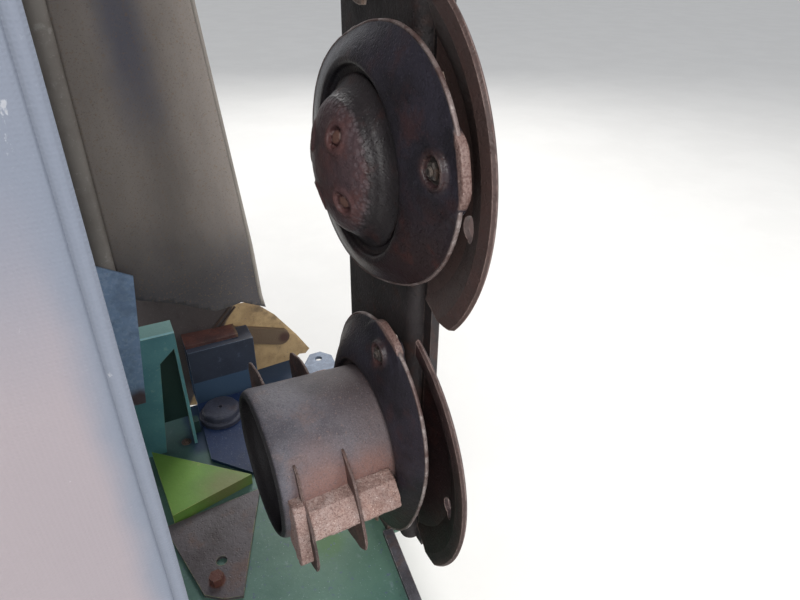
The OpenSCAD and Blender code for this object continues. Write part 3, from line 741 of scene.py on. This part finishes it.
def filled_table(table, n=5):
    """Puts more points between those of a table."""
    out = []
    for (a0, h0), (a1, h1) in zip(table, table[1:]):
        out += [(a0 + (a1 - a0) * k / n, h0 + (h1 - h0) * k / n) for k in range(n)]
    return out + [table[-1]]


# the two paddles: height left of the ribs' tips, wear of the bar, shift along the drum, lump left
for k, (tip, bar_wear, shift, left) in enumerate(((1.0, 0, 0, 1.0), (0.95, 3, 7, 0.25))):
    turn = 170 + 180 * k
    node = "drum_paddle_" + "ab"[k]
    mid, end = SEAT + DRUM_L * 0.43 - shift, SEAT + DRUM_L * 0.825 - shift
    out = TOP_R - bar_wear
    bar = [(out + 16, turn + 4), (out + 30, turn + 12), (out + 36, turn + 17), (out + 33, turn + 20.5),
           (out + 26, turn + 21)]
    bar += [(100.6, turn + a) for a in range(17, -1, -4)]
    lump = [(out + 18 * left, turn - 3), (out + 26 * left, turn + 10), (out + 34 * left, turn + 22),
            (out + 46 * left, turn + 30), (out + 42 * left, turn + 37), (out + 12 * left, turn + 41)]
    lump += [(102, turn + a) for a in range(40, -7, -5)]
    pieces = []
    for tag, table, z, root in (("mid", RIB, mid, 99.5), ("end", END_RIB, end, 102)):
        edge = [(TOP_R - 2 + RIB_H * min(h, tip), turn + a) for a, h in filled_table(table)]
        edge += [(root, turn + a) for a in range(62, -29, -6)]
        pieces.append(cast("%s_rib_%s" % (node, tag), prism("rib", edge, -z - 4, -z), finish["rib"],
                           0.0011, 2, ((0.5, 45), (0.3, 160))))
    for tag, shape, x0, x1 in (("bar", bar, -end, -25), ("lump", lump, 10 - END, -end - 3)):
        pieces.append(cast("%s_%s" % (node, tag), prism(tag, shape, x0, x1), finish["bar"],
                           0.0013, 3, ((0.9, 70), (0.7, 210), (0.4, 420))))
    for o in pieces:
        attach(o, "disc_1")
        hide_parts(node)


# Bolts and nuts, one object for each body, finish and slot
class Fasteners:
    """Collects the heads, nuts and washers of each body, finish and slot."""

    def __init__(self):
        self.sets = {}

    def add(self, body, key, slot, point, axis, r, h, washer):
        """A hexagon of radius r and height h on a washer, with the thread's end over it."""
        verts, faces = self.sets.setdefault((body, key, slot), ([], []))
        z = Vector(axis).normalized()
        x = z.orthogonal().normalized()
        y = z.cross(x)

        def ring(rad, height, n):
            base = len(verts)
            for k in range(n):
                t = 2 * math.pi * k / n
                verts.append(point + (x * math.cos(t) * rad + y * math.sin(t) * rad + z * height) / 1000)
            return base

        def tower(rows, n):
            rings = [ring(rad, height, n) for rad, height in rows]
            for a, b in zip(rings, rings[1:]):
                for k in range(n):
                    faces.append((a + k, a + (k + 1) % n, b + (k + 1) % n, b + k))
            faces.append(tuple(rings[-1] + k for k in range(n)))
            faces.append(tuple(rings[0] + k for k in reversed(range(n))))

        tower([(washer, -0.5), (washer, 1.2), (washer - 0.6, 1.8)], 20)
        tower([(r, 1.5), (r, h - 1.2), (r - 1.4, h)], 6)
        tower([(r * 0.5, h - 1.0), (r * 0.5, h + 2.0), (r * 0.4, h + 2.8)], 10)

    def build(self):
        for (body, key, slot), (verts, faces) in self.sets.items():
            o = object_from("fasteners_%s_%s" % (body, key), verts, faces, finish[key], False)
            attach(o, body)


fasteners = Fasteners()
# along the case's rear flange, clear of the spindles
for z in range(-200, 1431, 58):
    if all(abs(z - disc_z(i)) > 20 for i in DISCS):
        fasteners.add("frame", "bolt", "case_paint", at(46, 161, z), (-1, 0, 0), 6.5, 6, 9)
        fasteners.add("frame", "nut", "case_paint", at(58, 161, z), (1, 0, 0), 6.5, 6, 9)
for i in DISCS:
    # under the sole of the guard
    for y in (-55, 30, 120):
        for dz in (-96, -10):
            fasteners.add("frame", "nut", "guard_rust", at(84, y, disc_z(i) + dz), (1, 0, 0), 9, 7, 14)
    # heads of the knife bolts
    for k in (0, 180):
        fasteners.add("disc_%d" % i, "spindle", "disc_steel",
              round_spot(-5.2, KNIFE_BOLT_R, disc_turn(i) + k, i), (-1, 0, 0), 9.5, 7, 13.5)
# the case's ends on the deck and on the outer end plate
for x, y in ((40, 40), (66, 40), (40, 130), (66, 130)):
    fasteners.add("frame", "bolt", "green_paint", at(x, y, -DROP - 6), (0, 0, -1), 9, 7, 14)
    fasteners.add("frame", "bolt", "green_paint", at(x, y, OUT_Z + 6), (0, 0, 1), 9, 7, 14)
for x, y in BORED:
    fasteners.add("frame", "spindle", "green_paint", at(x, y, -DROP), (0, 0, 1), 7, 5, 10)
fasteners.build()


# Sheets: front curtain, rear curtain, top cover and corner flap
def inside(p, poly):
    """Whether a point lies inside an outline."""
    hit = False
    n = len(poly)
    for k in range(n):
        (x0, y0), (x1, y1) = poly[k], poly[(k + 1) % n]
        if (y0 > p[1]) != (y1 > p[1]) and p[0] < (x1 - x0) * (p[1] - y0) / (y1 - y0) + x0:
            hit = not hit
    return hit


def sheet_piece(name, poly, step, spot, mat, thick, hole=None):
    """A thin closed sheet over an outline in mm, with a round hole (centre's two places, radius)
    where one is asked for; spot(a, b) gives the place of a point of the flat cut."""
    edge = []
    for (x0, y0), (x1, y1) in zip(poly, poly[1:] + poly[:1]):
        n = max(1, int(math.hypot(x1 - x0, y1 - y0) / step))
        edge += [(x0 + (x1 - x0) * k / n, y0 + (y1 - y0) * k / n) for k in range(n)]
    loops = [edge]
    if hole:
        n = max(24, int(2 * math.pi * hole[2] / step))
        loops.append([(hole[0] + hole[2] * math.cos(2 * math.pi * k / n),
                       hole[1] + hole[2] * math.sin(2 * math.pi * k / n)) for k in range(n)])
    pts, edges = [], []
    for loop in loops:
        base = len(pts)
        pts += [Vector(p) for p in loop]
        edges += [(base + k, base + (k + 1) % len(loop)) for k in range(len(loop))]
    xs, ys = [p[0] for p in poly], [p[1] for p in poly]
    cells = {}   # the outline's points by squares of one step, for the distance test
    for q in pts:
        cells.setdefault((int(q.x // step), int(q.y // step)), []).append(q)
    y = min(ys) + step / 2
    while y < max(ys):
        x = min(xs) + step / 2
        while x < max(xs):
            q = Vector((x, y))
            near = [b for i in (-1, 0, 1) for j in (-1, 0, 1)
                    for b in cells.get((int(x // step) + i, int(y // step) + j), ())]
            if inside((x, y), poly) and all((b - q).length > step * 0.45 for b in near):
                pts.append(q)
            x += step
        y += step
    co, _, tris = geometry.delaunay_2d_cdt(pts, edges, [], 1, 1e-4)[:3]
    if hole:
        centre = Vector(hole[:2])
        tris = [t for t in tris
                if (sum((co[a] for a in t), Vector((0, 0))) / 3 - centre).length > hole[2] - 0.01]
    rest = [spot(p.x, p.y) for p in co]
    normals = [Vector((0, 0, 0)) for _ in rest]
    for t in tris:
        n = (rest[t[1]] - rest[t[0]]).cross(rest[t[2]] - rest[t[0]])
        for a in t:
            normals[a] += n
    top = [v + n.normalized() * thick / 2000 if n.length else v for v, n in zip(rest, normals)]
    low = [v - n.normalized() * thick / 2000 if n.length else v for v, n in zip(rest, normals)]
    m = len(rest)
    used = {}   # directed edges; one without its reverse lies on a boundary
    for t in tris:
        for a, b in zip(t, t[1:] + t[:1]):
            used[(a, b)] = True
    faces = [tuple(t) for t in tris] + [tuple(m + a for a in reversed(t)) for t in tris]
    faces += [(b, a, m + a, m + b) for a, b in used if (b, a) not in used]
    o = object_from(name, top + low, faces, mat)
    rework(o.data, drop_loose)
    return o


def strip(name, path, across, width, thick, mat):
    """A flat band along a path of points in metres; its width lies along a direction."""
    verts, faces = [], []
    n = len(path)
    a = Vector(across).normalized()
    for k, p in enumerate(path):
        t = (path[min(k + 1, n - 1)] - path[max(k - 1, 0)]).normalized()
        u = a.cross(t).normalized()
        for s1, s2 in ((-1, -1), (1, -1), (1, 1), (-1, 1)):
            verts.append(p + a * s1 * width / 2000 + u * s2 * thick / 2000)
    for k in range(n - 1):
        for j in range(4):
            b, c = 4 * k + j, 4 * k + (j + 1) % 4
            faces.append((b, c, c + 4, b + 4))
    faces += [(3, 2, 1, 0), tuple(4 * (n - 1) + j for j in range(4))]
    return object_from(name, verts, faces, mat)


# front curtain
near_poly = [(-412.4, -266), (-296.5, -266), (-296.5, OUT_Z - 2), (-412.4, OUT_Z - 2)]


def near_spot(x, z):
    hang = (x + 412.4) / 116   # 0 at the rail, 1 at the hem
    w = 3.2 * math.sin(z / 96.0 + 0.7 * math.sin(z / 240.0)) * hang + 2.2 * math.sin(z / 41.0) * hang ** 2
    return at(x, -382 + w, z)


near_c = sheet_piece("near_curtain", near_poly, 11, near_spot, finish["near"], 2.6)
hem_path = [near_spot(-299.5, z) for z in range(-264, OUT_Z - 3, 12)]
near_hem = strip("near_hem", hem_path, (1, 0, 0), 7, 4.4, finish["near"])
for o in (near_c, near_hem):
    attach(o, "frame")
    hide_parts("front_curtain")

# rear curtain
far_poly = [(-297.6, 89), (-199.7, 48), (-146.7, 24), (-96, 30), (-49, 3), (-54, 31), (-60, 140),
            (-101, 558), (-101, 1230), (-85, OUT_Z - 2), (-297.6, OUT_Z - 2)]


def far_spot(x, z):
    hang = max(0.0, (x + 296.5) / 200)
    w = 7.5 * math.sin((x + 296.5) / 30.0 - 0.9 + z / 900.0) * min(1.0, hang * 2.2)
    w += 2.5 * math.sin(z / 170.0 + x / 60.0) * hang
    w *= 0.55 + 0.45 * min(1.0, (z - 20) / 300.0)
    return at(x, 402 + w, z)


far_c = sheet_piece("far_curtain", far_poly, 10, far_spot, finish["far"], 2.6)


def far_edge(z):
    """The free edge's place in X at a height."""
    for (x0, z0), (x1, z1) in zip(far_poly[4:9], far_poly[5:10]):
        if z0 <= z <= z1:
            return x0 + (x1 - x0) * (z - z0) / (z1 - z0)
    return -85


hem_path = [far_spot(far_edge(z) - 3.0, z) for z in range(12, OUT_Z - 12, 12)]
far_hem = strip("far_hem", hem_path, (1, 0, 0), 7, 4.2, finish["hem"])
for o in (far_c, far_hem):
    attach(o, "frame")
    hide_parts("rear_curtain")

# top cover between the rails, with the drive port
p0, p1 = Vector((FRONT[0] - 19.3, FRONT[1])), Vector((REAR[0] - 19.3, REAR[1]))
span = (p1 - p0).length
cover_poly = [(0, -250), (span, -250), (span, OUT_Z - 2), (0, OUT_Z - 2)]
port_s = -p0.y / (p1.y - p0.y) * span   # the drive port lies over the drum's axis


def cover_spot(s, z):
    q = p0.lerp(p1, s / span)
    w = 4.0 * math.sin(math.pi * s / span) * math.sin(z / 210.0) + 1.6 * math.sin(s / 70.0 + z / 150.0)
    return at(q.x + w, q.y, z)


cover = sheet_piece("top_cover_cloth", cover_poly, 18, cover_spot, finish["cover"], 3.0, (port_s, 0, 116))
rim_path = [cover_spot(port_s + 118 * math.cos(2 * math.pi * k / 72),
                       118 * math.sin(2 * math.pi * k / 72)) for k in range(73)]
rim = strip("port_rim", rim_path, (1, 0, 0.1), 7, 6, finish["hem"])
seams = [strip("cover_seam_%d" % k, [cover_spot(12 + (span - 24) * j / 40, z) for j in range(41)],
               (0, 0, 1), 14, 4.6, finish["cover"])
         for k, z in enumerate((-240, 330, 800, 1270, OUT_Z - 14))]
for o in [cover, rim] + seams:
    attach(o, "frame")
    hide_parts("top_cover")

# corner flap, curled at its free corner
flap_poly = [(-300, -30), (-300, 272), (-200, 238), (-94, 200), (-56, 194), (-28, 180), (10, 140),
             (60, 66), (90, 14), (78, 4), (62, 8), (48, 0), (40, -20), (-150, -20), (-185, -58)]


def flap_spot(x, z):
    w = 5.0 * math.sin((x + 40) / 48.0) * (0.4 + 0.6 * z / 230.0) + 2.5 * math.sin(z / 37.0 + x / 90.0)
    curl = max(0.0, (x - 20) / 70.0)
    return at(x, 579 + w + 6 * curl * curl - 3.0, z - 270)


def flap_seam(name, x, z, width):
    """A short seam that slants down from a place on the flap's near face."""
    path = [flap_spot(x - 49 * k / 20, z - 55 * k / 20) - Vector((0, 0.0025, 0)) for k in range(21)]
    return strip(name, path, (1, 0, -1), width, 3, finish["seam"])


flap = sheet_piece("corner_flap_rubber", flap_poly, 9, flap_spot, finish["flap"], 3.6)
seam_a = flap_seam("flap_seam_1", -90, 197, 5)
seam_b = flap_seam("flap_seam_2", -80, 193, 4)
for o in (flap, seam_a, seam_b):
    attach(o, "frame")
    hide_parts("corner_flap")

# Floor, light and background
lowest = cad_box[0][2]
bpy.ops.mesh.primitive_plane_add(size=30, location=(0, 0, lowest - 0.0005))
floor = bpy.context.object
floor.name = "floor"
p = Paint("floor_pale", (232, 231, 228), 0.9)
p.blotch((226, 225, 222), 3, 0.4, 0.6, 0.5)
floor.data.materials.append(p.done())


def area_light(name, pos, target, size, power, colour):
    d = bpy.data.lights.new(name, "AREA")
    d.shape = "DISK"
    d.size = size
    d.energy = power
    d.color = colour
    o = bpy.data.objects.new(name, d)
    bpy.context.collection.objects.link(o)
    o.location = pos
    o.rotation_euler = (Vector(target) - Vector(pos)).to_track_quat("-Z", "Y").to_euler()


aim = (0.1, 0.1, 0.6)
area_light("key", (-1.1, -3.2, 3.0), aim, 2.2, 130, (1, 0.99, 0.97))
area_light("fill", (2.6, -2.4, 2.2), aim, 3.0, 60, (1, 0.98, 0.96))
area_light("rim", (1.4, 3.0, 2.8), aim, 2.0, 80, (1, 0.98, 0.95))

# world: the camera sees a pale backdrop, the part a dimmer and bluer sky
world = bpy.data.worlds.new("world")
bpy.context.scene.world = world
world.use_nodes = True
tree = world.node_tree
tree.nodes.clear()
light_path = tree.nodes.new("ShaderNodeLightPath")
seen = tree.nodes.new("ShaderNodeMath")
seen.operation = "MAXIMUM"
tree.links.new(light_path.outputs["Is Camera Ray"], seen.inputs[0])
tree.links.new(light_path.outputs["Is Transmission Ray"], seen.inputs[1])
mix = tree.nodes.new("ShaderNodeMixShader")
tree.links.new(seen.outputs[0], mix.inputs[0])
for k, (colour, strength) in enumerate((((0.80, 0.82, 0.86, 1), 0.7), ((0.93, 0.93, 0.93, 1), 1.0))):
    back = tree.nodes.new("ShaderNodeBackground")
    back.inputs[0].default_value = colour
    back.inputs[1].default_value = strength
    tree.links.new(back.outputs[0], mix.inputs[1 + k])
out = tree.nodes.new("ShaderNodeOutputWorld")
tree.links.new(mix.outputs[0], out.inputs[0])

bpy.context.scene.view_settings.view_transform = "Standard"
